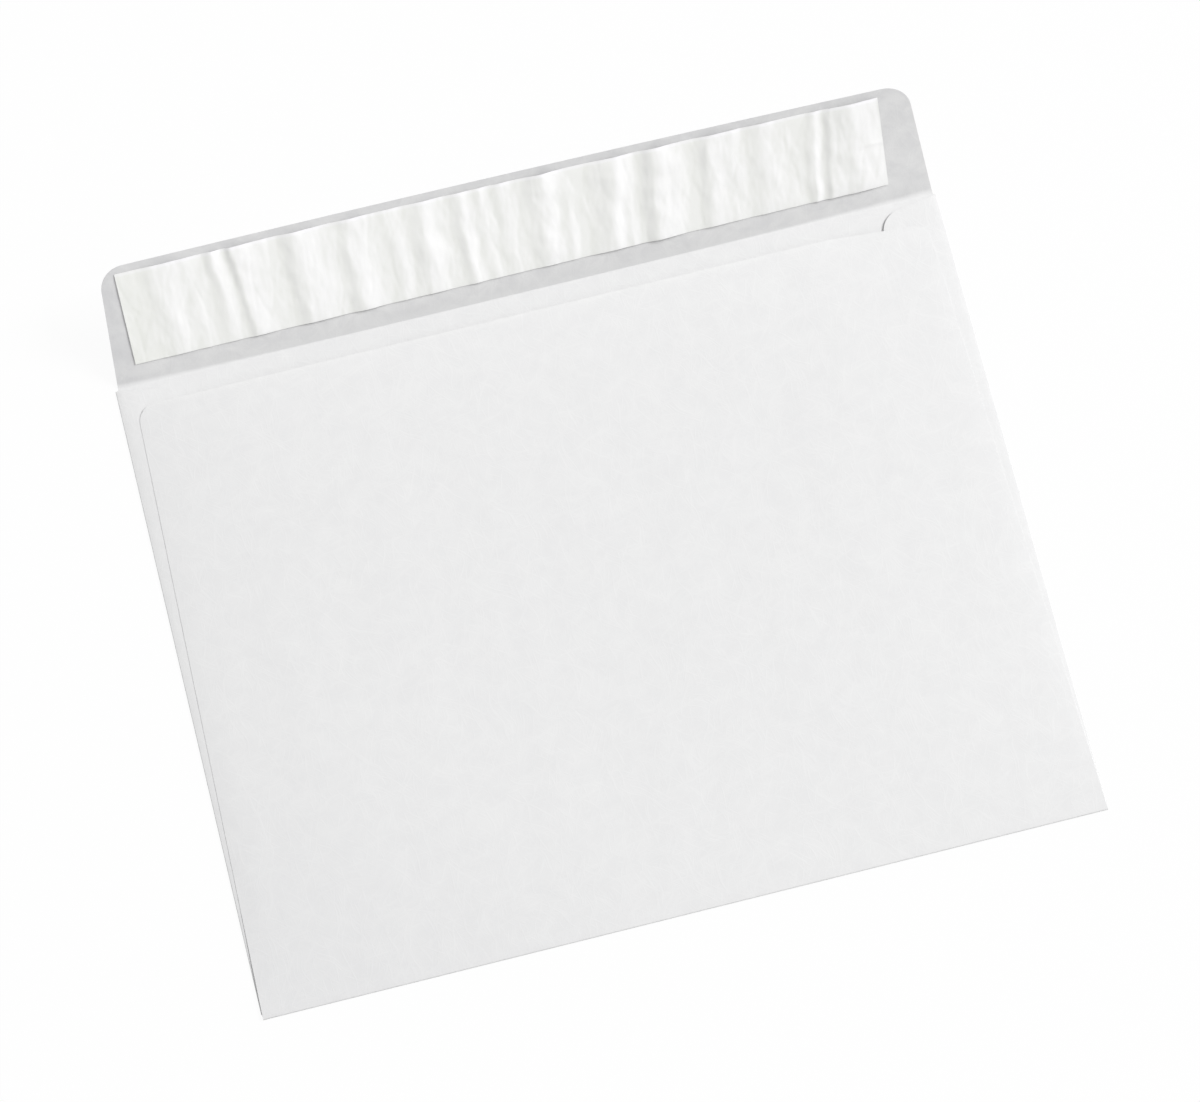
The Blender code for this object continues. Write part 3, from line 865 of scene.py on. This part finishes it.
def spunbonded_material(web):
    """White spunbonded sheet: matt, with a faint web of fibres."""
    material, tree, shader = new_material("spunbonded sheet", SHEET_SPECULAR)
    flat = kept_value(tree, "flat", ATTRIBUTE_VECTOR)
    values = (flat, SHEET_CLOUD_SCALE, 1.0)
    cloud, fibres, height = use_group(tree, "ShaderNodeGroup", web, values)
    x, y, _ = split(tree, flat)
    shade = cloud * SHEET_CLOUD_SHARE + fibres * SHEET_FIBRE_SHARE
    on_flap = smooth_step(tree, y, TOP_LINE, TOP_LINE + FLAP_TONE_FADE)
    shade = shade + (cloud - 0.5) * on_flap * FLAP_CLOUD
    # Painted highlight: the sheet is paler in a narrow band along the back panel's cut mouth edge
    mouth_edge = 2 * BOTTOM_LINE - BOTTOM_BEND - BACK_TOP
    from_mouth = smooth_step(tree, y, mouth_edge, mouth_edge + MOUTH_HIGHLIGHT_WIDTH)
    shade = shade + (1.0 - from_mouth) * MOUTH_EDGE_PAINTED_HIGHLIGHT
    # Painted shade: the flap is darker along its outer rim and towards its left end
    rim_places = (TOP_LINE + SEAL_FLAP_LENGTH - width for width in FLAP_RIM_WIDTHS)
    rim = smooth_step(tree, y, *rim_places)
    flap_end = smooth_step(tree, x * -1.0, *FLAP_END_REACH) * on_flap
    shade = shade - rim * FLAP_RIM_PAINTED_SHADE - flap_end * FLAP_END_PAINTED_SHADE
    # Painted shade: darker towards the sheet's lower left corner, where the light falls off
    place = add_node(tree, "ShaderNodeTexCoord", output=OBJECT_COORDINATES)
    right, up, _ = split(tree, place)
    towards_corner = right * SHADED_CORNER_SIDE[0] + up * SHADED_CORNER_SIDE[1]
    shade = shade - smooth_step(tree, towards_corner, *SHADED_CORNER_REACH) * SHADED_CORNER_PAINTED_SHADE
    feed(tree, shader.inputs["Base Color"], colour_between(tree, shade, *SHEET_COLOURS))
    feed(tree, shader.inputs["Roughness"], number_between(tree, fibres, *SHEET_ROUGHNESS))
    add_bump(tree, shader, height, *SHEET_BUMP)
    return material


def release_paper_material(web):
    """White coated release paper: smooth, slightly glossy, faintly clouded."""
    material, tree, shader = new_material("release paper", PAPER_SPECULAR)
    shader.inputs["Coat Weight"].default_value = PAPER_COAT
    shader.inputs["Coat Roughness"].default_value = PAPER_COAT_ROUGHNESS
    flat = kept_value(tree, "flat", ATTRIBUTE_VECTOR)
    values = (flat, PAPER_CLOUD_SCALE, PAPER_FIBRE_SCALE)
    cloud, _, height = use_group(tree, "ShaderNodeGroup", web, values)
    raised = kept_value(tree, "raised", ATTRIBUTE_NUMBER)
    lifted = smooth_step(tree, raised + cloud * RIDGE_CLOUD, *RIDGE_TONE_EDGES)
    # Painted highlight: paler on slopes that face the lamp
    to_right = kept_value(tree, "to right", ATTRIBUTE_NUMBER)
    slopes = smooth_step(tree, to_right, *SLOPE_EDGES)
    x, y, _ = split(tree, flat)
    # Painted highlight: a pale line along the strip's upper edge
    upper_edge = smooth_step(tree, y, *(STRIP_WIDTH / 2 - width for width in UPPER_EDGE_WIDTHS))
    # Painted shade: the strip is darker towards its left end
    left_end = smooth_step(tree, x * -1.0, *STRIP_END_REACH)
    paleness = lifted * RIDGE_PALE + slopes * LAMP_SLOPE_PAINTED_HIGHLIGHT + upper_edge * UPPER_EDGE_PAINTED_HIGHLIGHT
    paleness = paleness - left_end * STRIP_END_PAINTED_SHADE
    feed(tree, shader.inputs["Base Color"], colour_between(tree, paleness, *PAPER_COLOURS))
    feed(tree, shader.inputs["Roughness"], number_between(tree, cloud, *PAPER_ROUGHNESS))
    add_bump(tree, shader, height, *PAPER_BUMP)
    return material


def glue_material(name, web, colours):
    """Dried adhesive: pale, a little yellow, rolled on unevenly."""
    material, tree, shader = new_material(name, GLUE_SPECULAR)
    place = add_node(tree, "ShaderNodeTexCoord", output=OBJECT_COORDINATES)
    values = (place, GLUE_CLOUD_SCALE, GLUE_FIBRE_SCALE)
    cloud, _, height = use_group(tree, "ShaderNodeGroup", web, values)
    feed(tree, shader.inputs["Base Color"], colour_between(tree, cloud, *colours))
    feed(tree, shader.inputs["Roughness"], number_between(tree, cloud, *GLUE_ROUGHNESS))
    add_bump(tree, shader, height, *GLUE_BUMP)
    return material


def build_camera():
    data = bpy.data.cameras.new("camera")
    data.lens = CAMERA_LENS_MM
    data.sensor_width = CAMERA_SENSOR_MM
    data.dof.use_dof = False
    camera = bpy.data.objects.new("camera", data)
    camera.location = CAMERA_PLACE
    camera.rotation_euler = [math.radians(angle) for angle in CAMERA_TURN_DEGREES]
    bpy.context.scene.collection.objects.link(camera)
    bpy.context.scene.camera = camera


def background_rays(tree):
    """1 for the rays that see the background: from the camera, in gloss or through glass."""
    node = tree.nodes.new("ShaderNodeLightPath")
    rays = None
    for name in ("Is Camera Ray", "Is Glossy Ray", "Is Transmission Ray"):
        ray = Field(tree, node.outputs[name])
        rays = ray if rays is None else calculate(tree, "MAXIMUM", rays, ray)
    return rays


def build_light():
    """A broad soft lamp from the right, and an even sky that the camera sees as white."""
    data = bpy.data.lights.new("key", "AREA")
    data.shape = "DISK"
    data.size = 2 * KEY_DISTANCE * math.tan(KEY_SPREAD / 2)
    shine = KEY_ON_TABLE / math.sin(KEY_ELEVATION) / math.sin(KEY_SPREAD / 2) ** 2
    data.energy = shine * math.pi * math.pi * (data.size / 2) ** 2
    lamp = bpy.data.objects.new("key", data)
    lamp.visible_camera = False
    flat = math.cos(KEY_ELEVATION)
    across, behind = flat * math.cos(KEY_SIDE), flat * math.sin(KEY_SIDE)
    towards = Vector((across, behind, math.sin(KEY_ELEVATION)))
    lamp.location = towards * KEY_DISTANCE
    lamp.rotation_euler = towards.to_track_quat("Z", "Y").to_euler()
    bpy.context.scene.collection.objects.link(lamp)

    world = bpy.data.worlds.new("sky")
    world.use_nodes = True
    bpy.context.scene.world = world
    tree = world.node_tree
    sky = tree.nodes["Background"]
    sky.inputs["Color"].default_value = WHITE
    strength = background_rays(tree) * (1.0 - SKY_ON_TABLE) + SKY_ON_TABLE
    feed(tree, sky.inputs["Strength"], strength)


def build_floor():
    """A white floor that keeps a faint shadow."""
    bm = bmesh.new()
    bmesh.ops.create_grid(bm, x_segments=1, y_segments=1, size=FLOOR_SIZE / 2)
    mesh = bpy.data.meshes.new("floor")
    bm.to_mesh(mesh)
    bm.free()
    floor = bpy.data.objects.new("floor", mesh)
    floor.location.z = -FLOOR_DROP
    bpy.context.scene.collection.objects.link(floor)
    material = bpy.data.materials.new("floor")
    material.use_nodes = True
    tree = material.node_tree
    tree.nodes.remove(tree.nodes["Principled BSDF"])
    diffuse = add_node(tree, "ShaderNodeBsdfDiffuse", {"Color": FLOOR_COLOUR})
    white = add_node(tree, "ShaderNodeEmission", {"Color": WHITE, "Strength": 1.0})
    share = background_rays(tree) * (1.0 - FLOOR_SHOWN_SHADE)
    mixed = add_node(tree, "ShaderNodeMixShader", (share, diffuse, white))
    feed(tree, tree.nodes["Material Output"].inputs["Surface"], mixed)
    mesh.materials.append(material)


def build_envelope():
    web = fibre_web_group()
    fold = fold_group()
    seal_flap = seal_flap_group(fold)

    paper = spunbonded_material(web)
    tree = folded_sheet_tree(fold, seal_flap)
    source = shaped("folded_sheet_source", flat_blank(), tree, paper, SHEET)
    plain_piece("folded_sheet", source, BODY, "envelope_sheet")

    release_paper = release_paper_material(web)
    tree = release_strip_tree(seal_flap)
    start = bpy.data.meshes.new("strip start")
    source = shaped("crinkled_strip_source", start, tree, release_paper, STRIP_THICKNESS)
    plain_piece("crinkled_strip", source, BODY, "release_strip")

    adhesive = glue_material("pressure adhesive", web, ADHESIVE_COLOURS)
    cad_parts["adhesive_band"].data.materials[0] = adhesive
    glue = glue_material("seam glue", web, SEAM_GLUE_COLOURS)
    for name in ("left_seam_glue", "right_seam_glue"):
        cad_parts[name].data.materials[0] = glue


bpy.context.scene.view_settings.view_transform = "Standard"
build_camera()
build_light()
build_floor()
build_envelope()
